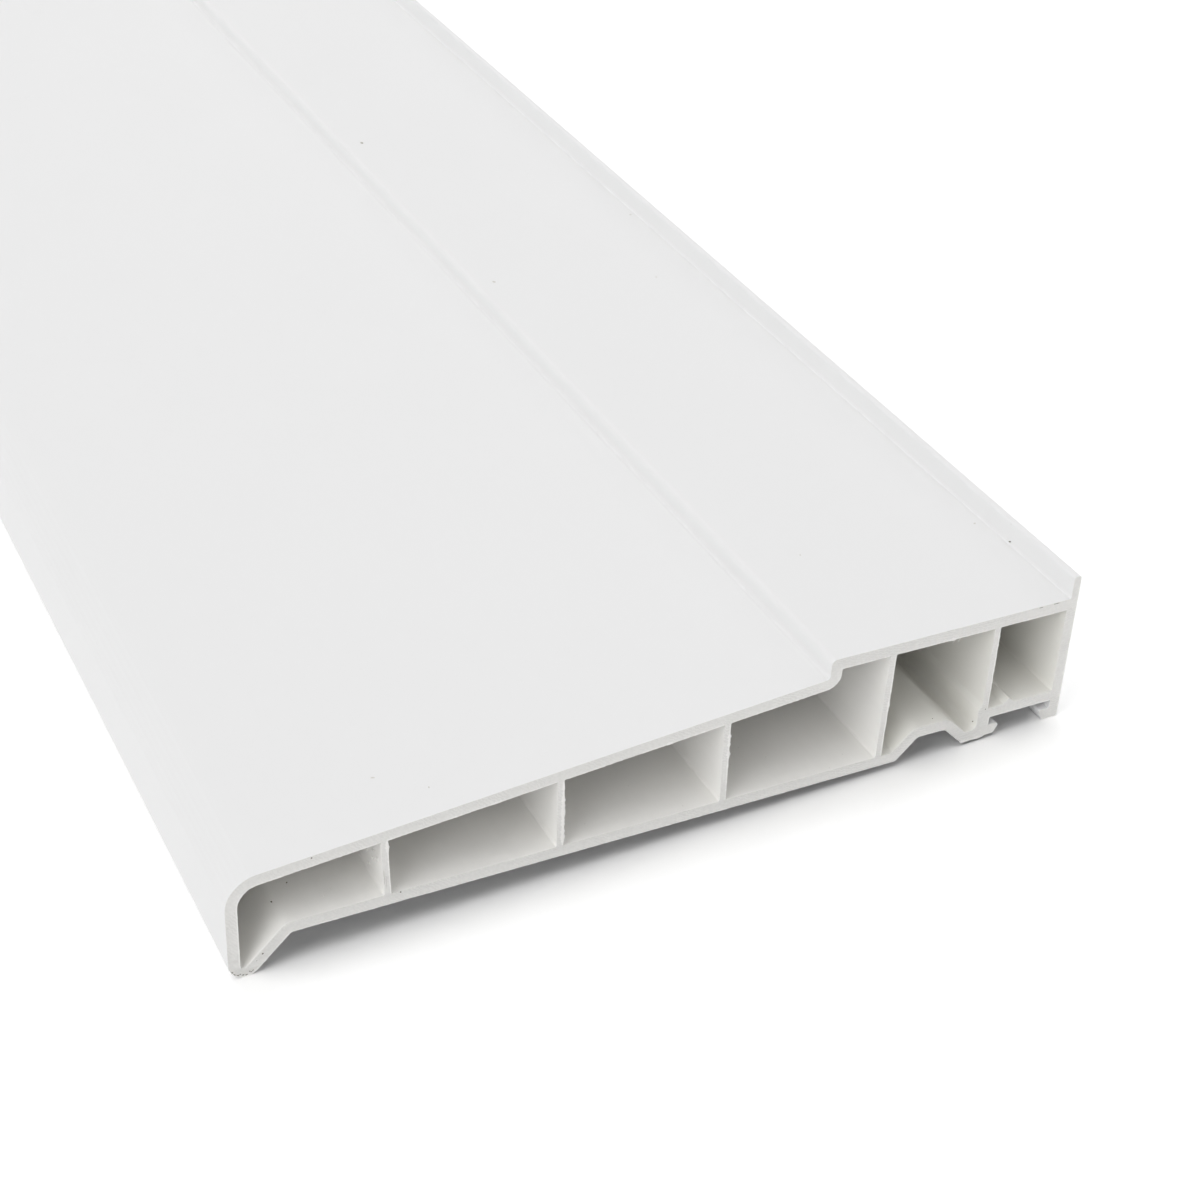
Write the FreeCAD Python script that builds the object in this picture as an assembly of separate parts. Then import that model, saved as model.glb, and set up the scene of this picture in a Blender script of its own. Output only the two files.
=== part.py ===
import FreeCAD, Part

import math
import os

from FreeCAD import Vector

# Window sill board: a hollow section extruded in white rigid PVC and sawn square to length.
# The section is drawn level, as the board is fitted, with y from the front face to the back face
# and z from the lowest point of the nose. All sizes are in millimetres and angles in degrees.

# Overall sizes
board_length = 1250.0
board_depth = 180.0
seat_height = 29.6            # from the flat underside up to the seat of the window frame
wall = 2.2                    # outer skin
seat_wall = 2.4               # skin under the seat and behind the step
web = 1.2                     # thin partitions between the chambers
inner_corner = 0.4            # root radius inside the chambers

# Sloping top and nose
top_fall = 4.85               # slope of the top towards the front, to shed rain
nose_radius = 6.8             # round front edge of the top
nose_drop = 7.6               # how far the drip nose hangs below the flat underside
nose_tip_radius = 3.2
nose_back_angle = 45.0        # slope of the back of the nose, from level
nose_bend_radius = 0.8
nose_root_radius = 0.8        # inside the nose chamber, down in its tip

# Seat, step and upstand
seat_width = 57.4             # from the face of the step to the back face
step_height = 4.4
step_head_radius = 1.3
step_foot_radius = 0.7
upstand_height = 5.2
upstand_thickness = 1.6
upstand_lip_radius = 0.7
upstand_foot_radius = 0.4
back_edge_radius = 0.3

# Webs under the sloping top
first_web = 30.7              # middle of the first web, from the front face
web_pitch = 35.0
web_to_step = 12.0            # least room between a web and the face of the step

# Clip channel, open downwards at the back
channel_width = 15.3
channel_height = 2.2
lip_reach = 2.5               # how far each lip narrows the mouth of the channel
lip_height = 2.5
lip_nose = 0.4                # upright edge of a lip, above its slanted face
lip_slant = 1.0               # how far that face leans back on its way down
foot_radius = 0.5             # back bottom corner, on which the board lies
clip_web_inset = 0.7          # from the front face of the channel to the web above it
clip_leg = 2.8                # thick lower part of that web, in front of the channel
clip_leg_rise = 1.4           # how far the thick part stands above the floor of the back chamber
clip_leg_taper = 1.5
clip_leg_root = 1.2

# Groove under the seat
groove_depth = 4.7
groove_top = 6.4
groove_angle = 45.0
groove_land = 3.4             # flat underside on each side of the groove
groove_bend_radius = 1.0

# Ridge on the floor of the back chamber
ridge_height = 1.2
ridge_width = 2.8
ridge_lean = 0.45             # share of the width in front of the crest
ridge_offset = 3.2            # from the front face of the channel to the ridge

# Levels and places that follow from the sizes
underside = nose_drop
floor = underside + wall
seat = underside + seat_height
seat_under = seat - seat_wall
upstand_top = seat + upstand_height
step_face = board_depth - seat_width
step_foot = seat - step_height
channel_back = board_depth - wall
channel_front = channel_back - channel_width
lip_top = underside + lip_height
channel_roof = lip_top + channel_height
back_floor = channel_roof + wall
leg_front = channel_front - clip_leg
clip_web_back = channel_front - clip_web_inset
clip_web_front = clip_web_back - web
groove_run = groove_depth / math.tan(math.radians(groove_angle))
groove_roof = underside + groove_depth
groove_back = leg_front - groove_land
groove_front = groove_back - groove_top - 2 * groove_run
seat_web_back = groove_front - groove_land
seat_web_front = seat_web_back - web


def top_at(y):
    """Height of the sloping top at depth y."""
    return step_foot - (step_face - y) * math.tan(math.radians(top_fall))


def under_top_at(y):
    """Height of the inside of the sloping top wall at depth y."""
    return top_at(y) - wall / math.cos(math.radians(top_fall))


def nose_back_at(z):
    """Depth of the nose's sloping back at height z."""
    slope = math.radians(nose_back_angle)
    reach = nose_tip_radius / math.sin(slope)
    return nose_tip_radius + reach + (z - nose_tip_radius) / math.tan(slope)


def bend_shift(angle):
    """How far a corner between level and sloping walls moves along, one wall thickness further in."""
    return wall * math.tan(math.radians(angle) / 2)


def rounded_wire(corners):
    """Closed wire through corners (y, z, radius), each rounded by an arc that meets both sides."""
    points = [Vector(0, y, z) for y, z, radius in corners]
    ends = []
    for i, (y, z, radius) in enumerate(corners):
        point = points[i]
        back = (points[i - 1] - point).normalize()
        ahead = (points[(i + 1) % len(points)] - point).normalize()
        half = back.getAngle(ahead) / 2
        middle = (back + ahead).normalize()
        reach = radius / math.tan(half)
        crown = point + middle * (radius / math.sin(half) - radius)
        ends.append((point + back * reach, crown, point + ahead * reach))
    edges = []
    for i, (start, crown, end) in enumerate(ends):
        if corners[i][2] > 0:
            edges.append(Part.Arc(start, crown, end).toShape())
        edges.append(Part.LineSegment(end, ends[(i + 1) % len(ends)][0]).toShape())
    return Part.Wire(edges)


def outline():
    """Outside of the section: over the top from the nose, down the back and home along the underside."""
    nose_tip = nose_tip_radius * (1 - 1 / math.tan(math.radians((90 - nose_back_angle) / 2)))
    lip_edge = lip_top - lip_nose
    over = [
        (0, top_at(0), nose_radius),
        (step_face, step_foot, step_foot_radius),
        (step_face, seat, step_head_radius),
        (board_depth - upstand_thickness, seat, upstand_foot_radius),
        (board_depth - upstand_thickness, upstand_top, upstand_lip_radius),
        (board_depth, upstand_top, back_edge_radius),
        (board_depth, underside, foot_radius),
    ]
    channel = [
        (channel_back - lip_reach + lip_slant, underside, back_edge_radius),
        (channel_back - lip_reach, lip_edge, 0),
        (channel_back - lip_reach, lip_top, 0),
        (channel_back, lip_top, 0),
        (channel_back, channel_roof, 0),
        (channel_front, channel_roof, 0),
        (channel_front, lip_top, 0),
        (channel_front + lip_reach, lip_top, 0),
        (channel_front + lip_reach, lip_edge, 0),
        (channel_front + lip_reach - lip_slant, underside, back_edge_radius),
    ]
    groove = [
        (groove_back, underside, groove_bend_radius),
        (groove_back - groove_run, groove_roof, groove_bend_radius),
        (groove_front + groove_run, groove_roof, groove_bend_radius),
        (groove_front, underside, groove_bend_radius),
    ]
    nose = [
        (nose_back_at(underside), underside, nose_bend_radius),
        (0, nose_tip, nose_tip_radius),
    ]
    return rounded_wire(over + channel + groove + nose)


def front_webs():
    """Middles of the webs under the sloping top, as many as fit in front of the step."""
    count = 1 + int((step_face - web_to_step - first_web) // web_pitch)
    return [first_web + i * web_pitch for i in range(count)]


def nose_chamber():
    """First chamber, behind the front face and down into the drip nose."""
    end = front_webs()[0] - web / 2
    slope = math.radians(nose_back_angle)
    root = (nose_tip_radius - wall) * (1 - 1 / math.tan((math.pi / 2 - slope) / 2))
    return rounded_wire([
        (wall, under_top_at(wall), nose_radius - wall),
        (end, under_top_at(end), inner_corner),
        (end, floor, inner_corner),
        (nose_back_at(underside) + bend_shift(-nose_back_angle), floor, nose_bend_radius + wall),
        (wall, wall + root, nose_root_radius),
    ])


def slope_chamber(start, end):
    """Chamber between two webs under the sloping top."""
    return rounded_wire([
        (start, under_top_at(start), inner_corner),
        (end, under_top_at(end), inner_corner),
        (end, floor, inner_corner),
        (start, floor, inner_corner),
    ])


def step_chamber(start):
    """Chamber that runs under the step, as far as the web below the seat."""
    rise = step_face + seat_wall
    return rounded_wire([
        (start, under_top_at(start), inner_corner),
        (rise, under_top_at(rise), step_foot_radius + seat_wall),
        (rise, seat_under, inner_corner),
        (seat_web_front, seat_under, inner_corner),
        (seat_web_front, floor, inner_corner),
        (start, floor, inner_corner),
    ])


def groove_chamber():
    """Chamber over the groove, up to the clip web and its thick leg."""
    shift = bend_shift(groove_angle)
    leg_top = back_floor + clip_leg_rise
    outer_bend = groove_bend_radius + wall
    return rounded_wire([
        (seat_web_back, seat_under, inner_corner),
        (clip_web_front, seat_under, inner_corner),
        (clip_web_front, leg_top, 0),
        (leg_front, leg_top - clip_leg_taper, 0),
        (leg_front, floor, clip_leg_root),
        (groove_back + shift, floor, inner_corner),
        (groove_back - groove_run + shift, groove_roof + wall, outer_bend),
        (groove_front + groove_run - shift, groove_roof + wall, outer_bend),
        (groove_front - shift, floor, inner_corner),
        (seat_web_back, floor, inner_corner),
    ])


def back_chamber():
    """Last chamber, over the clip channel, with the low ridge on its floor."""
    back = board_depth - wall
    ridge_front = channel_front + ridge_offset
    return rounded_wire([
        (clip_web_back, seat_under, inner_corner),
        (back, seat_under, inner_corner),
        (back, back_floor, inner_corner),
        (ridge_front + ridge_width, back_floor, 0),
        (ridge_front + ridge_width * ridge_lean, back_floor + ridge_height, 0),
        (ridge_front, back_floor, 0),
        (clip_web_back, back_floor, inner_corner),
    ])


def section():
    """Cut face of the board: the outline less its six chambers."""
    webs = front_webs()
    chambers = [nose_chamber()]
    for web_before, web_after in zip(webs, webs[1:]):
        chambers.append(slope_chamber(web_before + web / 2, web_after - web / 2))
    chambers.append(step_chamber(webs[-1] + web / 2))
    chambers.append(groove_chamber())
    chambers.append(back_chamber())
    face = Part.Face(outline())
    for chamber in chambers:
        face = face.cut(Part.Face(chamber))
    return face.Faces[0]


def rest_angle():
    """Backward tilt at which the nose tip and the back foot both touch a level floor.

    Both are round, so the floor is the line that touches the two circles from below.
    """
    across = (board_depth - foot_radius) - nose_tip_radius
    rise = (underside + foot_radius) - nose_tip_radius
    lean = math.asin((nose_tip_radius - foot_radius) / math.hypot(across, rise))
    return math.degrees(math.atan2(rise, across) + lean)


def sill_board():
    """The board as it lies on the floor, centred on its length and depth, with its lowest lines at z 0."""
    board = section().extrude(Vector(board_length, 0, 0))
    board.rotate(Vector(0, 0, 0), Vector(1, 0, 0), -rest_angle())
    box = board.optimalBoundingBox(False)
    board.translate(Vector(-box.Center.x, -box.Center.y, -box.ZMin))
    return board


board = sill_board()
os.makedirs("parts", exist_ok=True)
board.exportStep("parts/sill_board.step")

box = board.optimalBoundingBox(False)
print("solids", len(board.Solids), "valid", board.isValid(), "rest angle", round(rest_angle(), 3))
print("size", round(box.XLength, 3), round(box.YLength, 3), round(box.ZLength, 3))
print("section area", round(board.Volume / board_length, 2), "volume", round(board.Volume, 1))
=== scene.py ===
import math

import bpy
import numpy as np
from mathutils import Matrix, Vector
from mathutils.geometry import tessellate_polygon


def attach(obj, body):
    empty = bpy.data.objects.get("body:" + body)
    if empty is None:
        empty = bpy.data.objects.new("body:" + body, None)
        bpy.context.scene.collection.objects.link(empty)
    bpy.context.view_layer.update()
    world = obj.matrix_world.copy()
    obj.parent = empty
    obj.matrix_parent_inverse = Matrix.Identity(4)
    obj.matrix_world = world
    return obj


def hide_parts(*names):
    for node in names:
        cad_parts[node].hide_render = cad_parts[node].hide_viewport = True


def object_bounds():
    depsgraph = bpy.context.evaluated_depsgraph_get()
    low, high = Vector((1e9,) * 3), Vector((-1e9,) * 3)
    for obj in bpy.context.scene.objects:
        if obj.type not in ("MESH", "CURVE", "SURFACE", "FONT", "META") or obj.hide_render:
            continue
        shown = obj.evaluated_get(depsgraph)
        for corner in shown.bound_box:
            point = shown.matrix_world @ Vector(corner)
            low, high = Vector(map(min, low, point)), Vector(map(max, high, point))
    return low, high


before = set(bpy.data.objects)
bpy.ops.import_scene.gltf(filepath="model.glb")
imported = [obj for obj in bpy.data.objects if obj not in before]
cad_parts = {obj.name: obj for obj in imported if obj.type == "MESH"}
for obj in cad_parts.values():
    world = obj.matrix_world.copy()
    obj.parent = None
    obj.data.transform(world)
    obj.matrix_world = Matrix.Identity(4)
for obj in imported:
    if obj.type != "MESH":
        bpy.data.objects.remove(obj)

cad_low, cad_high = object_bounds()

# The board
# One hollow length of rigid white PVC, pushed hot through a die that gives it this section, and crosscut
# at both ends with a circular saw. It is drawn level, in mm, with y from the front face and z from the
# nose tip, then leaned as it lies.
mm = 0.001
board_depth = 180.0
seat_height = 29.6
wall = 2.2
seat_wall = 2.4
web = 1.2
root_radius = 0.4             # inner corners of the chambers
crisp_radius = 0.2            # corners that the die leaves as sharp as it can

top_fall = math.radians(4.85)
nose_radius = 6.8
nose_drop = 7.6               # how far the drip nose hangs below the underside
tip_radius = 3.2
nose_slope = math.radians(45)
nose_bend_radius = 0.8
nose_root_radius = 0.8

seat_width = 57.4
step_height = 4.4
step_head_radius = 1.3
step_foot_radius = 0.7
upstand_height = 5.2
upstand_thickness = 1.6
upstand_lip_radius = 0.7
back_edge_radius = 0.3
foot_radius = 0.5

first_web = 30.55             # middle of the first web, from the front face
web_pitch = 35.0
web_leans = (3.0, 1.0, 1.0)   # degrees that the hot webs sagged out of upright, off the die
seat_web_lean = -1.2

channel_width = 15.3          # clip channel, open downwards at the back between two lips
channel_height = 2.2
lip_reach = 2.5
lip_height = 2.5
lip_nose = 0.4
lip_slant = 1.0
lip_relief = 0.35             # step up from the underside to the front lip's foot
lip_relief_reach = 0.9
clip_web_inset = 0.7          # from the channel's front to the web above it
clip_leg = 2.8                # thick lower part of that web
clip_leg_rise = 1.4
clip_leg_taper = 1.5
clip_leg_root = 1.2

groove_depth = 4.7            # groove along the underside, below the seat
groove_top = 6.4
groove_land = 3.4
groove_bend_radius = 1.0
groove_crown_radius = 1.8

ridge_height = 1.2            # ridge on the floor of the last chamber
ridge_width = 2.8
ridge_lean = 0.45
ridge_offset = 3.2

underside = nose_drop
floor_top = underside + wall
seat = underside + seat_height
seat_under = seat - seat_wall
upstand_top = seat + upstand_height
step_face = board_depth - seat_width
step_foot = seat - step_height
channel_back = board_depth - wall
channel_front = channel_back - channel_width
lip_top = underside + lip_height
channel_roof = lip_top + channel_height
back_floor = channel_roof + wall
leg_front = channel_front - clip_leg
clip_web_back = channel_front - clip_web_inset
clip_web_front = clip_web_back - web
groove_back = leg_front - groove_land
groove_front = groove_back - groove_top - 2 * groove_depth
groove_roof = underside + groove_depth
seat_web = groove_front - groove_land - web / 2
bend_shift = wall * math.tan(nose_slope / 2)     # how far a bend moves along, one wall further in


def top_at(y):
    """Height of the sloping top at depth y: a straight line that falls forwards from the foot of the step."""
    return step_foot - (step_face - y) * math.tan(top_fall)


def under_top_at(y):
    """Height of the inside of the sloping top: the same line, one wall lower, measured square to it."""
    return top_at(y) - wall / math.cos(top_fall)


def unit(vectors):
    """Each vector divided by its own length."""
    return vectors / np.linalg.norm(vectors, axis=-1, keepdims=True)


def rounded(corners, steps=8):
    """Closed loop through corners (y, z, radius). Each corner becomes the arc that touches both its sides,
    as points turned evenly about the arc's centre from one tangent point to the other."""
    corners = np.array(corners, float)
    point, radius = corners[:, :2], corners[:, 2:]
    back = unit(np.roll(point, 1, axis=0) - point)
    ahead = unit(np.roll(point, -1, axis=0) - point)
    half = np.arccos((back * ahead).sum(axis=1, keepdims=True)) / 2
    centre = point + unit(back + ahead) * radius / np.sin(half)
    start = point + back * radius / np.tan(half) - centre
    end = point + ahead * radius / np.tan(half) - centre
    turn = math.pi - 2 * half
    share = np.linspace(0, 1, steps + 1)
    from_start = np.sin((1 - share) * turn) / np.sin(turn)
    from_end = np.sin(share * turn) / np.sin(turn)
    arcs = from_start[..., None] * start[:, None] + from_end[..., None] * end[:, None]
    return (centre[:, None] + arcs).reshape(-1, 2)


lip_edge = lip_top - lip_nose
nose_back = tip_radius + tip_radius / math.sin(nose_slope) + (underside - tip_radius)
tip_corner = tip_radius * (1 - 1 / math.tan((math.pi / 2 - nose_slope) / 2))
relief_corner = 0.1
outline = [
    (0, top_at(0), nose_radius),
    (step_face, step_foot, step_foot_radius),
    (step_face, seat, step_head_radius),
    (board_depth - upstand_thickness, seat, root_radius),
    (board_depth - upstand_thickness, upstand_top, upstand_lip_radius),
    (board_depth, upstand_top, back_edge_radius),
    (board_depth, underside, foot_radius),
    (channel_back - lip_reach + lip_slant, underside, back_edge_radius),
    (channel_back - lip_reach, lip_edge, crisp_radius),
    (channel_back - lip_reach, lip_top, crisp_radius),
    (channel_back, lip_top, crisp_radius),
    (channel_back, channel_roof, crisp_radius),
    (channel_front, channel_roof, crisp_radius),
    (channel_front, lip_top, crisp_radius),
    (channel_front + lip_reach, lip_top, crisp_radius),
    (channel_front + lip_reach, lip_edge, crisp_radius),
    (channel_front + lip_reach - lip_slant, underside + lip_relief, back_edge_radius),
    (channel_front - lip_relief_reach + lip_relief, underside + lip_relief, relief_corner),
    (channel_front - lip_relief_reach, underside, relief_corner),
    (groove_back, underside, groove_bend_radius),
    (groove_back - groove_depth, groove_roof, groove_crown_radius),
    (groove_front + groove_depth, groove_roof, groove_crown_radius),
    (groove_front, underside, groove_bend_radius),
    (nose_back, underside, nose_bend_radius),
    (0, tip_corner, tip_radius),
]


def web_side(middle, ceiling, lean, way):
    """Depths of a web's side at the ceiling and the floor: the web leans about half its height."""
    sag = math.tan(math.radians(lean)) * (ceiling - floor_top) / 2
    side = middle + way * web / 2
    return side - sag, side + sag


front_webs = [first_web + i * web_pitch for i in range(len(web_leans))]
web_sides = [
    [web_side(middle, under_top_at(middle), lean, way) for way in (-1, 1)]
    for middle, lean in zip(front_webs, web_leans)]
head, foot = web_sides[0][0]
inner_tip = wall + (tip_radius - wall) * (1 - 1 / math.tan((math.pi / 2 - nose_slope) / 2))
nose_chamber = [
    (wall, under_top_at(wall), nose_radius - wall),
    (head, under_top_at(head), root_radius),
    (foot, floor_top, root_radius),
    (nose_back - bend_shift, floor_top, nose_bend_radius + wall),
    (wall, inner_tip, nose_root_radius),
]
chambers = [nose_chamber]
for before, after in zip(web_sides, web_sides[1:]):
    (start_head, start_foot), (end_head, end_foot) = before[1], after[0]
    chambers.append([
        (start_head, under_top_at(start_head), root_radius),
        (end_head, under_top_at(end_head), root_radius),
        (end_foot, floor_top, root_radius),
        (start_foot, floor_top, root_radius),
    ])
start_head, start_foot = web_sides[-1][1]
end_head, end_foot = web_side(seat_web, seat_under, seat_web_lean, -1)
rise = step_face + seat_wall
chambers.append([
    (start_head, under_top_at(start_head), root_radius),
    (rise, under_top_at(rise), step_foot_radius + seat_wall),
    (rise, seat_under, root_radius),
    (end_head, seat_under, root_radius),
    (end_foot, floor_top, root_radius),
    (start_foot, floor_top, root_radius),
])
start_head, start_foot = web_side(seat_web, seat_under, seat_web_lean, 1)
leg_top = back_floor + clip_leg_rise
chambers.append([
    (start_head, seat_under, root_radius),
    (clip_web_front, seat_under, root_radius),
    (clip_web_front, leg_top, crisp_radius),
    (leg_front, leg_top - clip_leg_taper, crisp_radius),
    (leg_front, floor_top, clip_leg_root),
    (groove_back + bend_shift, floor_top, root_radius),
    (groove_back - groove_depth + bend_shift, groove_roof + wall, groove_crown_radius + wall),
    (groove_front + groove_depth - bend_shift, groove_roof + wall, groove_crown_radius + wall),
    (groove_front - bend_shift, floor_top, root_radius),
    (start_foot, floor_top, root_radius),
])
ridge_front = channel_front + ridge_offset
chambers.append([
    (clip_web_back, seat_under, root_radius),
    (board_depth - wall, seat_under, root_radius),
    (board_depth - wall, back_floor, root_radius),
    (ridge_front + ridge_width, back_floor, crisp_radius),
    (ridge_front + ridge_width * ridge_lean, back_floor + ridge_height, crisp_radius),
    (ridge_front, back_floor, crisp_radius),
    (clip_web_back, back_floor, root_radius),
])

across = (board_depth - foot_radius) - tip_radius
lift = (underside + foot_radius) - tip_radius
lean = math.asin((tip_radius - foot_radius) / math.hypot(across, lift)) + math.atan2(lift, across)
leaned = np.array(((math.cos(lean), -math.sin(lean)), (math.sin(lean), math.cos(lean))))
outer_loop = rounded(outline) @ leaned
shift = np.array((-(outer_loop[:, 0].min() + outer_loop[:, 0].max()) / 2, -outer_loop[:, 1].min()))


def as_it_lies(y, z):
    """Level section place (y, z) in mm, turned back by the lean and moved to the frame's centre and floor."""
    return np.stack((y, z), axis=-1) @ leaned + shift


# At each end the blade leaves the cut a little rough, eases the edges that it enters by and drags a
# ragged, whitened burr over the edges that it leaves by. That whitening is partly real stress-whitened
# plastic and partly a painted highlight, a bright rim along those edges.
outline_spacing = 0.36        # between points along the outline
chamber_spacing = 0.18        # and along the chambers, whose burr is the more ragged
least_spacing = 0.04
cut_inset = 0.12              # the cut lies this far below the burr's crest
eased_radius = 0.1
saw_exit = unit(np.array((0.6, -0.8)))   # the way the teeth travel over the section, as y and z
exit_gain = 1.6               # how fast an edge goes from entered to left as it turns to face that way
exit_start = 0.1
burr_reach = 0.15
# The whitening column is partly stress-whitening and partly a painted highlight along the edge.
burr_ridge = np.array((       # out of the skin and past the cut, in reaches, and whitening, row by row
    (0, -2.4, 0.2), (0.35, -1.2, 0.4), (0.85, -0.45, 0.8), (1.0, 0.4, 1.0), (0.7, 1.0, 1.0),
    (-0.2, 0.95, 1.0), (-1.5, 0, 0),
))
most_whitened_and_highlit = 1.6
edge_steps = len(burr_ridge)
plain_rows = np.array((14.0, 3.0))       # how far in from each end the plain skin has rows
torn_places = np.array((      # y, z, extra reach and width of each torn flake on the seen end
    (31.3, 21.2, 0.36, 0.9), (65.9, 23.6, 0.26, 1.2), (66.3, 20.6, 0.50, 0.9), (66.2, 18.6, 0.30, 1.4),
    (66.3, 15.8, 0.34, 1.6), (66.3, 12.4, 0.34, 1.6), (101.1, 25.2, 0.34, 0.7), (101.2, 23.6, 0.34, 0.6),
    (101.3, 21.2, 0.30, 0.8), (137.2, 22.9, 0.28, 0.9), (150.4, 34.8, 0.40, 0.6), (7.0, 9.6, 0.18, 0.7),
    (121.5, 9.6, 0.15, 1.0), (88.0, 28.0, 0.20, 1.4), (52.0, 25.4, 0.16, 1.0), (146.5, 7.6, 0.20, 3.0),
    (152.0, 7.6, 0.26, 3.0), (158.0, 7.6, 0.26, 3.4),
))
chaos = np.random.default_rng(7)


def evened(loop, spacing):
    """The loop's own points and one more at every spacing along it, measured as length, less each point
    that comes nearer than the least spacing to the one before it."""
    closed = np.vstack((loop, loop[:1]))
    run = np.concatenate(([0], np.cumsum(np.linalg.norm(np.diff(closed, axis=0), axis=1))))
    places = np.union1d(run[:-1], np.arange(0, run[-1] - spacing / 2, spacing))
    places = places[np.diff(places, prepend=-spacing) > least_spacing]
    return np.stack([np.interp(places, run, closed[:, i]) for i in (0, 1)], axis=1)


def turned(loop, way):
    """The loop run anticlockwise for way 1 or clockwise for way -1, by the sign of its area."""
    ahead = np.roll(loop, -1, axis=0)
    area = (loop[:, 0] * ahead[:, 1] - ahead[:, 0] * loop[:, 1]).sum()
    return loop if area * way > 0 else loop[::-1]


def outward(loop):
    """Unit normal out of the plastic at each point: the chord between its neighbours, turned a quarter."""
    chord = np.roll(loop, -1, axis=0) - np.roll(loop, 1, axis=0)
    return unit(np.stack((chord[:, 1], -chord[:, 0]), axis=1))


def rough_line(count, reach):
    """Even noise from 0 to 1 round a closed loop: random numbers averaged over a bell of that many points."""
    bell = np.exp(-np.linspace(-2, 2, 4 * reach + 1) ** 2)
    wave = np.convolve(np.pad(chaos.random(count), 2 * reach, mode="wrap"), bell, mode="valid")
    return (wave - wave.min()) / (wave.max() - wave.min())


def sawn_edge(loop, normal, torn):
    """Rows of points from the skin round the edge to the cut, as steps outward along the normal and past
    the cut, in mm, and how whitened each is, a whitening that also paints a highlight along the edge. An
    edge that the blade enters by is a quarter round of the eased radius. One that it leaves by is a ridge: it
    swells out of the skin, crests past the cut and dives back to it. The blade's way over the edge mixes the
    two. Noise makes the ridge ragged, and each torn place adds a bell of its own reach and width, shaken from
    point to point."""
    count = len(loop)
    leaving = np.clip(normal @ saw_exit * exit_gain + exit_start, 0, 1)
    ragged = 0.5 + 0.5 * rough_line(count, 6) + 1.5 * np.maximum(rough_line(count, 1) - 0.6, 0)
    reach = burr_reach * ragged
    if torn:
        level_loop = (loop - shift) @ leaned.T
        apart = np.linalg.norm(level_loop[:, None] - torn_places[:, :2], axis=2)
        flakes = torn_places[:, 2] * np.exp(-(apart / torn_places[:, 3]) ** 2)
        reach = reach + flakes.sum(axis=1) * (1.2 * rough_line(count, 1) + 0.7 * chaos.random(count) - 0.3)
    sweep = np.linspace(0, math.pi / 2, edge_steps)[:, None]
    eased = eased_radius * (0.7 + 0.6 * rough_line(count, 8))
    ridge_out, ridge_past, row_whitening_and_highlight = burr_ridge.T[:, :, None]
    out = (np.cos(sweep) - 1) * eased * (1 - leaving) + ridge_out * reach * leaving
    crest = np.minimum(reach * 1.2, cut_inset)
    past = (np.sin(sweep) - 1) * eased * (1 - leaving) + ridge_past * crest * leaving
    whitening_and_highlight = row_whitening_and_highlight * leaving * np.clip(reach / burr_reach, 0, most_whitened_and_highlit)
    return out, np.minimum(past, cut_inset), whitening_and_highlight


def grid_faces(first, rows, count):
    """Quads between neighbouring rows of a closed loop, joined round its seam, facing out of the plastic."""
    row, i = np.meshgrid(np.arange(rows - 1), np.arange(count), indexing="ij")
    here, beside = first + row * count + i, first + row * count + (i + 1) % count
    return np.stack((here, beside, beside + count, here + count), axis=-1).reshape(-1, 4)


def cap_faces(rings, starts, way):
    """Triangles that fill the cut between the outline's ring and the chambers', facing along x times way."""
    lines = [[Vector((0, y, z)) for y, z in ring] for ring in rings]
    triangles = np.array(tessellate_polygon(lines))
    index = np.concatenate([start + np.arange(len(ring)) for start, ring in zip(starts, rings)])
    flat = np.concatenate(rings)
    a, b, c = (flat[triangles[:, i]] for i in range(3))
    area = (b[:, 0] - a[:, 0]) * (c[:, 1] - a[:, 1]) - (c[:, 0] - a[:, 0]) * (b[:, 1] - a[:, 1])
    triangles[area * way < 0] = triangles[area * way < 0][:, ::-1]
    return index[triangles]


def new_piece(name, points, faces, materials, face_slots=None, smooth_angle=40):
    """A mesh of points in metres, smooth where its faces meet at less than the angle."""
    mesh = bpy.data.meshes.new(name)
    mesh.from_pydata(points, [], faces)
    for material in materials:
        mesh.materials.append(material)
    if face_slots is not None:
        mesh.polygons.foreach_set("material_index", face_slots)
    mesh.polygons.foreach_set("use_smooth", np.ones(len(mesh.polygons), bool))
    mesh.set_sharp_from_angle(angle=math.radians(smooth_angle))
    made = bpy.data.objects.new(name, mesh)
    bpy.context.scene.collection.objects.link(made)
    return made


def mark(piece, name, values):
    """Gives each point a number that the material reads by name. Fewer values are shared out evenly."""
    shared = np.repeat(values, len(piece.data.vertices) // len(values))
    piece.data.attributes.new(name, "FLOAT", "POINT").data.foreach_set("value", shared)


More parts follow.
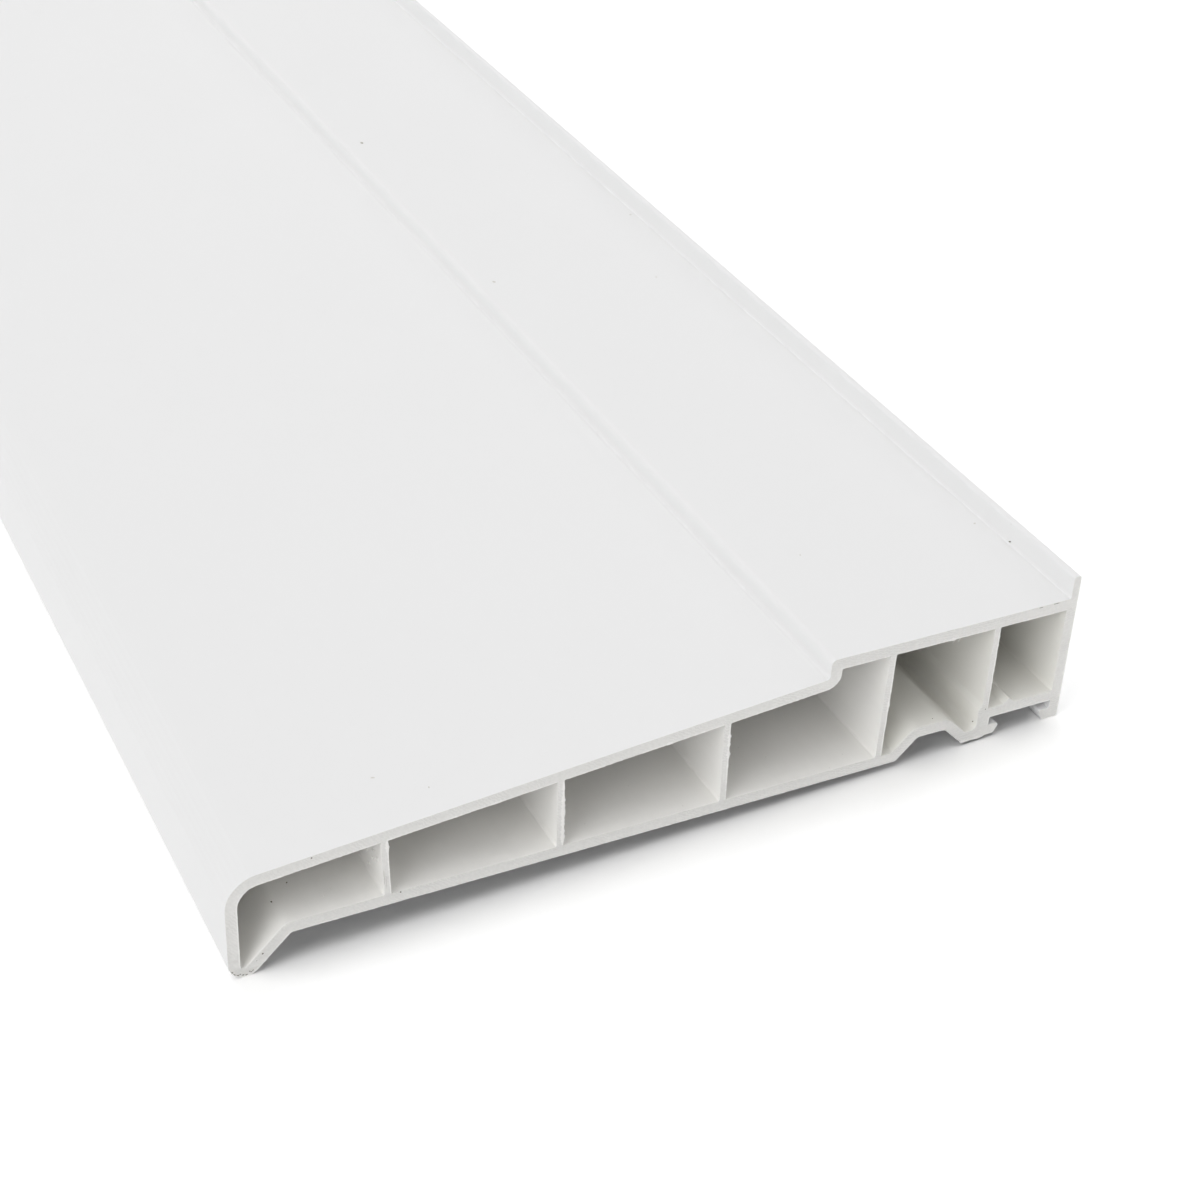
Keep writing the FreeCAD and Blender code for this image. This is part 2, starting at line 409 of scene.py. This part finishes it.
far_end, near_end = cad_low.x / mm, cad_high.x / mm
loops = [turned(evened(outer_loop + shift, outline_spacing), 1)]
for chamber in chambers:
    loops.append(turned(evened(rounded(chamber) @ leaned + shift, chamber_spacing), -1))
points, quads, quad_slots, whitened_and_highlit, painted_back_chamber_shade = [], [], [], [], []
far_rings, near_rings, far_starts, near_starts = [], [], [], []
point_count = 0
# The chambers after this one are painted darker, as painted shade.
last_bright_chamber = 4       # counted from the front
skin_slot, chamber_slot, cut_slot = range(3)
for number, loop in enumerate(loops):
    normal = outward(loop)
    count = len(loop)
    rows = []
    white = []
    for end, way, torn in ((far_end, -1, False), (near_end, 1, True)):
        out, past, whitening_and_highlight = sawn_edge(loop, normal, torn)
        x = end - way * cut_inset + way * past
        edge = np.concatenate((x[..., None], loop + normal * out[..., None]), axis=2)
        edge[..., 1:] = np.clip(edge[..., 1:], (cad_low.y / mm, 0), (cad_high.y / mm, cad_high.z / mm))
        plain = np.empty((len(plain_rows), count, 3))
        plain[..., 0] = (end - way * plain_rows)[:, None]
        plain[..., 1:] = loop
        side = np.concatenate((plain, edge))
        shade = np.concatenate((np.zeros((len(plain_rows), count)), whitening_and_highlight))
        rows.append(side if way > 0 else side[::-1])
        white.append(shade if way > 0 else shade[::-1])
    side_rows = len(rows[0])
    body = np.concatenate(rows)
    points.append(body.reshape(-1, 3))
    whitened_and_highlit.append(np.concatenate(white).reshape(-1))
    painted_back_chamber_shade.append(np.full(len(whitened_and_highlit[-1]), float(number > last_bright_chamber)))
    quads.append(grid_faces(point_count, 2 * side_rows, count))
    row_slots = np.full(2 * side_rows - 1, chamber_slot if number else skin_slot)
    cut_rows = edge_steps - 1 if number else edge_steps - 3      # the outer skin shows over half the edge
    row_slots[:cut_rows] = cut_slot
    row_slots[-cut_rows:] = cut_slot
    quad_slots.append(np.repeat(row_slots, count))
    far_rings.append(body[0][:, 1:])
    near_rings.append(body[-1][:, 1:])
    far_starts.append(point_count)
    near_starts.append(point_count + (2 * side_rows - 1) * count)
    point_count += 2 * side_rows * count
caps = np.concatenate((cap_faces(far_rings, far_starts, -1), cap_faces(near_rings, near_starts, 1)))
board_points = np.concatenate(points) * mm
board_faces = np.concatenate(quads).tolist() + caps.tolist()
board_slots = np.concatenate(quad_slots + [np.full(len(caps), cut_slot)])


def linear(colour):
    """An sRGB hex colour as linear red, green, blue and alpha."""
    share = np.array([int(colour[i:i + 2], 16) for i in (1, 3, 5)]) / 255
    low = share / 12.92
    high = ((share + 0.055) / 1.055) ** 2.4
    return (*np.where(share <= 0.04045, low, high), 1)


def add_node(material, kind, settings={}, links={}):
    """Adds one node. A setting's key is a property, or an input's name or number, as a link's key is."""
    made = material.node_tree.nodes.new(kind)
    for key, value in settings.items():
        if isinstance(key, str) and hasattr(made, key):
            setattr(made, key, value)
        else:
            made.inputs[key].default_value = value
    for key, socket in links.items():
        material.node_tree.links.new(socket, made.inputs[key])
    return made


def new_material(name):
    """A material with only its output, and that output."""
    material = bpy.data.materials.new(name)
    material.use_nodes = True
    material.node_tree.nodes.clear()
    return material, add_node(material, "ShaderNodeOutputMaterial")


# Rigid PVC as extruded: white with titanium dioxide, drawn through a polished die. Its skin is smooth
# and silk-matt, with hair-fine die lines along the length and a faint unevenness in its sheen.
die_lines_apart = 1.111       # coarser than the real lines, so that they show
die_line_length = 667.0
die_line_depth = 0.02
handled_patch = 26.32
extruded_skin, output = new_material("extruded_white_pvc")
place = add_node(extruded_skin, "ShaderNodeTexCoord").outputs["Object"]
die_scale = 1 / (np.array((die_line_length, die_lines_apart, die_lines_apart)) * mm)
die_space = add_node(extruded_skin, "ShaderNodeMapping", {"Scale": die_scale}, {"Vector": place})
die_lines = add_node(
    extruded_skin, "ShaderNodeTexNoise", {"Scale": 1.0, "Detail": 3.0}, {"Vector": die_space.outputs[0]})
handled = add_node(
    extruded_skin, "ShaderNodeTexNoise", {"Scale": 1 / (handled_patch * mm), "Detail": 4.0}, {"Vector": place})
gloss = add_node(
    extruded_skin, "ShaderNodeMapRange", {"From Min": 0.3, "From Max": 0.7, "To Min": 0.52, "To Max": 0.62},
    {"Value": handled.outputs[0]})
tone = add_node(
    extruded_skin, "ShaderNodeMix", {"data_type": "RGBA", 6: linear("#EFEFEF"), 7: linear("#F1F1F1")},
    {0: handled.outputs[0]})
relief = add_node(
    extruded_skin, "ShaderNodeBump", {"Strength": 0.25, "Distance": die_line_depth * mm},
    {"Height": die_lines.outputs[0]})
skin = add_node(
    extruded_skin, "ShaderNodeBsdfPrincipled", {"IOR": 1.53, "Specular IOR Level": 0.3},
    {"Base Color": tone.outputs[2], "Roughness": gloss.outputs[0], "Normal": relief.outputs[0]})
extruded_skin.node_tree.links.new(skin.outputs[0], output.inputs[0])

# The same PVC inside, which cooled in air off the die: matt. Its tone is painted lighter than the outer
# skin's, as painted light that brightens the chambers, and a touch warmer, as painted bounce light: what
# light gets in there has met the plastic many times. The two small back chambers are painted darker, as
# painted shade.
drawn_lines_apart = 2.0       # coarser than the real lines, so that they show
drawn_line_length = 166.7
drawn_line_depth = 0.05
chamber_skin, output = new_material("chamber_pvc_painted_light_and_shade")
place = add_node(chamber_skin, "ShaderNodeTexCoord").outputs["Object"]
drawn_scale = 1 / (np.array((drawn_line_length, drawn_lines_apart, drawn_lines_apart)) * mm)
drawn_space = add_node(chamber_skin, "ShaderNodeMapping", {"Scale": drawn_scale}, {"Vector": place})
drawn = add_node(
    chamber_skin, "ShaderNodeTexNoise", {"Scale": 1.0, "Detail": 4.0}, {"Vector": drawn_space.outputs[0]})
# Painted light: a tone lighter and warmer than the outer skin's, to brighten the shaded chambers.
tone = add_node(
    chamber_skin, "ShaderNodeMix", {"data_type": "RGBA", 6: linear("#F6F5F2"), 7: linear("#FAF9F6")},
    {0: drawn.outputs[0]})
# Painted shade: the back two chambers take a darker tone.
back_chamber_shade_mask = add_node(chamber_skin, "ShaderNodeAttribute", {"attribute_name": "painted_back_chamber_shade"})
chamber_tone = add_node(
    chamber_skin, "ShaderNodeMix", {"data_type": "RGBA", 7: linear("#F1F0EB")},
    {0: back_chamber_shade_mask.outputs["Fac"], 6: tone.outputs[2]})
relief = add_node(
    chamber_skin, "ShaderNodeBump", {"Strength": 0.3, "Distance": drawn_line_depth * mm},
    {"Height": drawn.outputs[0]})
skin = add_node(
    chamber_skin, "ShaderNodeBsdfPrincipled", {"IOR": 1.53, "Roughness": 0.5},
    {"Base Color": chamber_tone.outputs[2], "Normal": relief.outputs[0]})
chamber_skin.node_tree.links.new(skin.outputs[0], output.inputs[0])

# The same PVC sawn across: matt and faintly warm, with fine torn grain, patches of the shallow arcs that
# the saw's teeth score, and stress-whitened plastic where the burr was dragged out, made paler still as a
# painted highlight that draws a bright rim along the cut's edges. The arcs run about the blade's middle,
# and the wave node repeats every pi / 10 of its scaled space.
blade_radius = 150.0
blade_middle = np.array((0, 0.5, 0.87)) * blade_radius
tooth_pitch = 0.6             # coarser than the real scores, so that they show
scored_patch = 4.545
grain_size = 0.7143           # coarser than the real grain, so that it shows
cut_roughness = 0.05
sawn_face, output = new_material("sawn_white_pvc")
place = add_node(sawn_face, "ShaderNodeTexCoord").outputs["Object"]
blade_space = add_node(sawn_face, "ShaderNodeMapping", {"Location": -blade_middle * mm}, {"Vector": place})
teeth = add_node(
    sawn_face, "ShaderNodeTexWave",
    {"wave_type": "RINGS", "rings_direction": "X", "Scale": math.pi / (10 * tooth_pitch * mm),
     "Distortion": 7.0, "Detail": 3.0, "Detail Scale": 2.5}, {"Vector": blade_space.outputs[0]})
patches = add_node(
    sawn_face, "ShaderNodeTexNoise", {"Scale": 1 / (scored_patch * mm), "Detail": 1.0}, {"Vector": place})
scoring = add_node(
    sawn_face, "ShaderNodeMapRange", {"From Min": 0.4, "From Max": 0.65, "To Min": 0.05, "To Max": 0.5},
    {"Value": patches.outputs[0]})
grain = add_node(
    sawn_face, "ShaderNodeTexNoise", {"Scale": 1 / (grain_size * mm), "Detail": 5.0}, {"Vector": place})
scored = add_node(
    sawn_face, "ShaderNodeMix", {"data_type": "FLOAT"},
    {0: scoring.outputs[0], 2: grain.outputs[0], 3: teeth.outputs[1]})
tone = add_node(
    sawn_face, "ShaderNodeMix", {"data_type": "RGBA", 6: linear("#E3E2DF"), 7: linear("#F5F4F1")},
    {0: scored.outputs[0]})
# Painted highlight: the burr's whitening also brightens the cut's edges into a bright rim.
whitened_highlit_edge = add_node(sawn_face, "ShaderNodeAttribute", {"attribute_name": "whitened_and_highlit"})
burr_and_highlight_tone = add_node(
    sawn_face, "ShaderNodeMix", {"data_type": "RGBA", 7: linear("#FDFCF9")},
    {0: whitened_highlit_edge.outputs["Fac"], 6: tone.outputs[2]})
relief = add_node(
    sawn_face, "ShaderNodeBump", {"Strength": 0.7, "Distance": cut_roughness * mm},
    {"Height": scored.outputs[0]})
skin = add_node(
    sawn_face, "ShaderNodeBsdfPrincipled", {"IOR": 1.53, "Roughness": 0.6},
    {"Base Color": burr_and_highlight_tone.outputs[2], "Normal": relief.outputs[0]})
sawn_face.node_tree.links.new(skin.outputs[0], output.inputs[0])

board = new_piece("board", board_points, board_faces, (extruded_skin, chamber_skin, sawn_face), board_slots)
mark(board, "whitened_and_highlit", np.concatenate(whitened_and_highlit))
mark(board, "painted_back_chamber_shade", np.concatenate(painted_back_chamber_shade))
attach(board, "root")
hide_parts("sill_board")

# Swarf
# Crumbs that the blade threw into the mouths of the chambers, of the board's own white PVC, curled
# shavings that cling to the front web, and pale slivers dragged half out of the cut under the seat.
crumb_count = 44
crumb_reach = 14.0            # how far into a chamber they lie
crumb_shape = (1.5, 1.0, 0.7)
web_room = 1.6                # a crumb nearer than this to the middle of a web is moved beside it
web_sidestep = 3.5
lump_shake = 0.35
spot_half_thickness = 0.05    # of what clings to the cut


def lumps(centres, facing, along, half_sizes, rings=4, sides=8):
    """Closed uneven lumps. Each is a ball of rings and two poles, (sin u cos v, sin u sin v, cos u), whose
    radius is shaken by up to a third at every point, stretched by half sizes along, across and out."""
    facing, along = np.broadcast_to(facing, centres.shape), np.broadcast_to(along, centres.shape)
    u = np.linspace(0, math.pi, rings + 2)[1:-1, None]
    v = np.linspace(0, 2 * math.pi, sides, endpoint=False)
    ring = np.stack((np.sin(u) * np.cos(v), np.sin(u) * np.sin(v), np.cos(u) + 0 * v), axis=-1)
    ball = np.vstack(((0, 0, 1), ring.reshape(-1, 3), (0, 0, -1)))
    shaken = 1 - lump_shake * chaos.random((len(centres), len(ball), 1))
    axes = np.stack((along, np.cross(facing, along), facing), axis=1)
    made = centres[:, None] + (ball * shaken * half_sizes[:, None]) @ axes
    j = np.arange(sides)
    beside = (j + 1) % sides
    last = len(ball) - 1
    top = np.stack((0 * j, 1 + j, 1 + beside), axis=1)
    low_ring = last - sides
    foot = np.stack((low_ring + beside, low_ring + j, last + 0 * j), axis=1)
    row = 1 + sides * np.arange(rings - 1)[:, None]
    band = np.stack((row + j, row + sides + j, row + sides + beside, row + beside), axis=-1).reshape(-1, 4)
    starts = np.arange(len(centres))[:, None, None] * len(ball)
    thirds = (starts + np.vstack((top, foot))).reshape(-1, 3).tolist()
    quarters = (starts + band).reshape(-1, 4).tolist()
    return made.reshape(-1, 3), thirds + quarters


def on_board(spots):
    """Level places (x from the seen end, y, z) in mm as places in the frame, in mm."""
    spots = np.array(spots, float)
    return np.column_stack((near_end + spots[:, 0], as_it_lies(spots[:, 1], spots[:, 2])))


def leaned_way(ways):
    """Level directions turned by the board's lean, each made a unit vector."""
    ways = np.atleast_2d(ways)
    return unit(np.column_stack((ways[:, 0], ways[:, 1:] @ leaned)))


up, out_of_cut = leaned_way((0, 0, 1)), leaned_way((1, 0, 0))


def scattered_ways(count):
    """Random directions that lie on the board: (cos, sin, 0) of a random heading, less its part along up."""
    heading = chaos.uniform(0, math.pi, count)
    way = np.column_stack((np.cos(heading), np.sin(heading), np.zeros(count)))
    return unit(way - up * (way * up).sum(axis=1, keepdims=True))


def lumps_on_cut(spots, ways):
    """Flat lumps on the seen cut, from rows of y, z, half length and half width, and the ways they run."""
    places = on_board(np.insert(spots[:, :2], 0, -cut_inset, axis=1))
    half_sizes = np.insert(spots[:, 2:4], 2, spot_half_thickness, axis=1)
    return lumps(places, out_of_cut, leaned_way(ways), half_sizes)


crumb_depth = crumb_reach * chaos.random(crumb_count) ** 1.6 + 0.6
crumb_y = chaos.uniform(18, seat_web - 2.5, crumb_count)
off_web = (crumb_y - first_web + web_pitch / 2) % web_pitch - web_pitch / 2
crumb_y = np.where(np.abs(off_web) < web_room, crumb_y + web_sidestep, crumb_y)
crumb_half = chaos.uniform(0.06, 0.19, (crumb_count, 1)) * crumb_shape
crumb_spots = np.column_stack((-crumb_depth, crumb_y, floor_top + crumb_half[:, 2] * 0.6))
far_half = np.arange(crumb_count) % 2 == 1
crumb_places = on_board(crumb_spots)
crumb_places[far_half, 0] = far_end + crumb_depth[far_half]
crumb_points, crumb_faces = lumps(crumb_places, up, scattered_ways(crumb_count), crumb_half)
crumbs = new_piece("swarf_crumbs", crumb_points * mm, crumb_faces, (sawn_face,), smooth_angle=60)
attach(crumbs, "root")

curl_places = (               # x from the seen end, z, radius and turns of each shaving on the front web
    (-2.5, 16.7, 0.60, 1.35), (-5.2, 14.7, 0.62, 0.60), (-4.5, 17.3, 0.45, 0.55), (-8.0, 14.5, 0.42, 0.50),
    (-7.6, 11.8, 0.30, 0.60),
)
curl_width = 0.28
curl_thickness = 0.08
curl_start = 0.6              # radians from level at which each spiral starts
curl_clearance = 0.02
web_middle = 16.3             # height at which the leaning front web is where its size says


def curled(x, z, radius, turns, points=48):
    """Points of a spiral strip that stands on the front web's front side: a rectangle of its thickness by its
    width, carried round (cos a, sin a) times a radius that shrinks by half, and narrowing as it goes."""
    share = np.linspace(0, 1, points)
    angle = share * 2 * math.pi * turns + curl_start
    strip = np.array(((-0.5, 0), (0.5, 0), (0.5, 1), (-0.5, 1)))
    away = radius * (1 - 0.5 * share[:, None]) + strip[:, 0] * curl_thickness
    stand = curl_clearance + strip[:, 1] * curl_width * (1 - 0.6 * share[:, None])
    web_front = first_web - web / 2 - math.tan(math.radians(web_leans[0])) * (z - web_middle)
    curl = np.stack((np.cos(angle)[:, None] * away, -stand, np.sin(angle)[:, None] * away), axis=-1)
    return on_board(curl.reshape(-1, 3) + (x, web_front, z)) * mm


curl_points = np.concatenate([curled(*place) for place in curl_places])
count = len(curl_points) // len(curl_places)
side = np.arange(4)
row = 4 * np.arange(count // 4 - 1)[:, None]
strip_faces = np.stack((row + side, row + 4 + side, row + 4 + (side + 1) % 4, row + (side + 1) % 4), axis=-1)
strip_faces = np.vstack((strip_faces.reshape(-1, 4), side, count - 1 - side))
starts = count * np.arange(len(curl_places))[:, None, None]
curls = new_piece("swarf_curls", curl_points, (starts + strip_faces).reshape(-1, 4).tolist(), (sawn_face,))
# The curls take part of the same whitening, which also works as a painted highlight against the web.
mark(curls, "whitened_and_highlit", [0.6])
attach(curls, "root")

sliver_spots = np.array((     # y and z on the seen cut, half length and half width of each pale sliver
    (151.1, 34.55, 1.40, 0.07), (150.2, 35.00, 0.70, 0.05), (152.0, 34.20, 0.60, 0.05),
))
sliver_way = (0, 2.0, 2.3)
sliver_points, sliver_faces = lumps_on_cut(sliver_spots, sliver_way)
slivers = new_piece("torn_slivers", sliver_points * mm, sliver_faces, (sawn_face,), smooth_angle=60)
mark(slivers, "whitened_and_highlit", [1.0])
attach(slivers, "root")

# Dirt, dust and painted chip shade
# Grime and specks of workshop dirt caught on the cut, most of it on the nose tip, and pale dust that has
# settled on the upper faces. Two thin dark marks along the seat's top edge on the cut are painted shade,
# the shadow of small chips in that edge. None of it is part of the extrusion, and it only lies on the plastic.
dirt_and_chip_shade_spots = np.array((       # y and z on the seen cut, half length, half width, way it runs, how soiled
    (16.5, 23.4, 0.22, 0.18, 0, 1, 1.0), (6.6, 4.18, 0.22, 0.20, 1, 1, 1.0),
    (33.4, 9.6, 0.22, 0.18, 0, 1, 1.0), (148.4, 15.9, 0.16, 0.13, 1, 0, 0.8),
    (158.6, 12.2, 0.22, 0.17, 1, 0, 0.9), (161.4, 14.5, 0.16, 0.13, 0, 1, 0.9),
    (0.75, 1.70, 0.32, 0.15, 0.6, -1, 0.5), (1.12, 1.02, 0.30, 0.15, 0.8, -0.9, 0.6),
    (1.75, 0.62, 0.34, 0.15, 1, -0.5, 0.7), (2.19, 0.75, 0.22, 0.14, 1, 0, 0.7),
    (2.40, 0.24, 0.32, 0.16, 1, -0.2, 0.9), (2.75, 0.42, 0.32, 0.15, 1, 0.1, 0.7),
    (3.36, 0.26, 0.34, 0.14, 1, 0, 0.7), (4.00, 0.82, 0.20, 0.14, 0.4, 1, 0.7),
    (4.28, 0.62, 0.22, 0.14, 1, 0.4, 0.7), (4.60, 0.86, 0.22, 0.14, 1, 0.8, 0.6),
    (5.42, 2.90, 0.15, 0.10, 1, 1, 0.5), (30.20, 14.2, 2.40, 0.04, -0.05, 1, 0.3),
    # The two marks at y 171.2 and 174.9, along the seat's top edge, are painted shade of small chips there.
    (30.62, 13.2, 2.20, 0.03, -0.05, 1, 0.2), (171.2, 37.0, 0.75, 0.08, 1, 0, 0.8),
    (174.9, 37.0, 1.00, 0.08, 1, 0, 0.8), (2.1, 6.2, 0.10, 0.07, 0, 1, 0.7),
))

# Dried dust and grime: quite matt, pale grey where it is dust and brown where it is soiled or where it
# paints the shade of a chip, and mottled.
mottle_size = 0.4
dirt_and_chip_shade, output = new_material("workshop_dirt_and_chip_shade")
place = add_node(dirt_and_chip_shade, "ShaderNodeTexCoord").outputs["Object"]
mottle = add_node(
    dirt_and_chip_shade, "ShaderNodeTexNoise", {"Scale": 1 / (mottle_size * mm), "Detail": 2.0}, {"Vector": place})
pale = add_node(
    dirt_and_chip_shade, "ShaderNodeMix", {"data_type": "RGBA", 6: linear("#CFCCC5"), 7: linear("#E3E1DC")},
    {0: mottle.outputs[0]})
soil_and_chip_shade = add_node(dirt_and_chip_shade, "ShaderNodeAttribute", {"attribute_name": "soil_and_chip_shade"})
tone = add_node(
    dirt_and_chip_shade, "ShaderNodeMix", {"data_type": "RGBA", 7: linear("#5F5644")},
    {0: soil_and_chip_shade.outputs["Fac"], 6: pale.outputs[2]})
matt = add_node(dirt_and_chip_shade, "ShaderNodeBsdfPrincipled", {"Roughness": 0.95}, {"Base Color": tone.outputs[2]})
dirt_and_chip_shade.node_tree.links.new(matt.outputs[0], output.inputs[0])

cut_mark_points, cut_mark_faces = lumps_on_cut(dirt_and_chip_shade_spots, np.insert(dirt_and_chip_shade_spots[:, 4:6], 0, 0, axis=1))
cut_mark_points[:, 2] = np.maximum(cut_mark_points[:, 2], 0.0)
cut_dirt_and_chip_shade = new_piece("cut_dirt_and_chip_shade", cut_mark_points * mm, cut_mark_faces, (dirt_and_chip_shade,), smooth_angle=60)
mark(cut_dirt_and_chip_shade, "soil_and_chip_shade", dirt_and_chip_shade_spots[:, 6])
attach(cut_dirt_and_chip_shade, "root")

dust_spots = (                # x from the seen end, y, z, half length, half width, how soiled
    (-22.5, 178.9, 41.9, 0.80, 0.30, 0.1), (-117.3, 178.9, 41.9, 0.70, 0.35, 0.2),
    (-266.7, 178.9, 41.9, 0.60, 0.30, 0.2), (-264.0, 128.3, 37.2, 0.80, 0.50, 0.3),
    (-172.4, 127.7, 37.2, 0.60, 0.40, 0.0), (-31.8, 176.2, 37.2, 0.35, 0.25, 0.0),
    (-195.6, 177.0, 37.2, 0.40, 0.30, 0.0), (-15.0, 34.0, top_at(34.0), 0.60, 0.22, 0.0),
    (-7.6, 42.1, top_at(42.1), 0.30, 0.20, 0.0), (-160.3, 166.5, 37.2, 0.35, 0.25, 0.0),
    (-35.2, 135.7, 37.2, 0.30, 0.20, 0.0), (-21.9, 178.3, 38.0, 0.35, 0.25, 1.0),
    (-6.6, 10.7, floor_top + 0.1, 0.24, 0.20, 1.0), (-10.6, 15.1, floor_top, 0.22, 0.18, 1.0),
)
fine_count = 150
fine_y = chaos.uniform(nose_radius, board_depth - upstand_thickness - 1, fine_count)
fine_z = np.where(fine_y < step_face, top_at(fine_y), seat)
fine = np.column_stack((
    -chaos.uniform(2, near_end - far_end - 2, fine_count), fine_y, fine_z,
    chaos.uniform(0.05, 0.13, fine_count), chaos.uniform(0.04, 0.09, fine_count), np.zeros(fine_count)))
spots = np.vstack((dust_spots, fine))
flatness = 0.4                # of a grain's width
half_sizes = np.column_stack((spots[:, 3], spots[:, 4], spots[:, 4] * flatness))
dust_points, dust_faces = lumps(on_board(spots[:, :3]), up, scattered_ways(len(spots)), half_sizes)
settled = new_piece("settled_dust", dust_points * mm, dust_faces, (dirt_and_chip_shade,), smooth_angle=60)
mark(settled, "soil_and_chip_shade", spots[:, 5])
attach(settled, "root")

# The stage
# A plain white table that keeps the board's soft shadow. The camera sees it as brighter than it is to
# the light, so that it is clean white where nothing shades it.
table_half = 6.0
table_to_camera = (1.34, 1.34, 1.34, 1)
table_material, output = new_material("white_table")
seen = add_node(table_material, "ShaderNodeLightPath").outputs["Is Camera Ray"]
tone = add_node(
    table_material, "ShaderNodeMix", {"data_type": "RGBA", 6: (1, 1, 1, 1), 7: table_to_camera}, {0: seen})
paper = add_node(table_material, "ShaderNodeBsdfDiffuse", {}, {"Color": tone.outputs[2]})
table_material.node_tree.links.new(paper.outputs[0], output.inputs[0])
corners = np.array(((-1, -1, 0), (1, -1, 0), (1, 1, 0), (-1, 1, 0))) * table_half
table = new_piece("table", corners, [(0, 1, 2, 3)], (table_material,))

# The light
# Wide diffusers over, behind and beyond the board, two fill lamps that are flagged off the table, and two
# lamps for the table alone. The room is white to the camera and in what the board mirrors, and gives no
# other light. Each lamp's share is of the light on a face square to it.
room = bpy.data.worlds.new("white_room")
bpy.context.scene.world = room
room.use_nodes = True
room.node_tree.nodes.clear()
path = add_node(room, "ShaderNodeLightPath")
mirrored = add_node(
    room, "ShaderNodeMath", {"operation": "ADD"},
    {0: path.outputs["Is Glossy Ray"], 1: path.outputs["Is Transmission Ray"]})
seen = add_node(
    room, "ShaderNodeMath", {"operation": "ADD"}, {0: path.outputs["Is Camera Ray"], 1: mirrored.outputs[0]})
walls = add_node(room, "ShaderNodeBackground", {"Color": (1, 1, 1, 1)}, {"Strength": seen.outputs[0]})
add_node(room, "ShaderNodeOutputWorld", {}, {"Surface": walls.outputs[0]})

diffuser_angle = 50.0
lamps = (                     # name, the way it lies from the board, share, what it lights
    ("diffuser_over", (0, 0, 1), 0.182, "both"),
    ("diffuser_far_end", (-0.7, 0, 0.7), 0.163, "both"),
    ("diffuser_far_corner", (-0.5, 0.5, 0.7), 0.141, "both"),
    ("diffuser_back_low", (0, 0.95, 0.3), 0.238, "both"),
    ("fill_front", (0.35, -0.75, 0.55), 0.591, "board"),
    ("fill_near_end", (0.5, 0.5, 0.7), 0.152, "board"),
    ("table_front", (0, -0.7, 0.7), 0.400, "table"),
    ("table_over", (0, 0, 1), 0.145, "table"),
)
receivers = {"both": None}
for name, pieces in (("board", (board, crumbs, curls, slivers, cut_dirt_and_chip_shade, settled)), ("table", (table,))):
    receivers[name] = bpy.data.collections.new("lamps_for_the_" + name)
    for piece in pieces:
        receivers[name].objects.link(piece)
for name, way, share, lit in lamps:
    lamp_data = bpy.data.lights.new(name, "SUN")
    lamp_data.angle = math.radians(diffuser_angle)
    lamp_data.energy = share * math.pi
    lamp = bpy.data.objects.new(name, lamp_data)
    lamp.location = Vector(way).normalized()
    lamp.rotation_euler = Vector(way).to_track_quat("Z", "Y").to_euler()
    bpy.context.scene.collection.objects.link(lamp)
    lamp.light_linking.receiver_collection = receivers[lit]

# The camera
# It stands over the seen end, looking back along the board, where the photograph was taken from.
camera_place = (929.08, -165.08, 299.22)         # mm
camera_turn = (54.926, -0.143, 64.068)           # degrees
lens = 70.11                  # mm, for a sensor 36 mm wide
camera_data = bpy.data.cameras.new("camera")
camera_data.lens = lens
camera_data.sensor_width = 36
camera_data.clip_start = 0.01
camera = bpy.data.objects.new("camera", camera_data)
camera.location = Vector(camera_place) * mm
camera.rotation_euler = [math.radians(angle) for angle in camera_turn]
bpy.context.scene.collection.objects.link(camera)
bpy.context.scene.camera = camera
bpy.context.scene.view_settings.view_transform = "Standard"
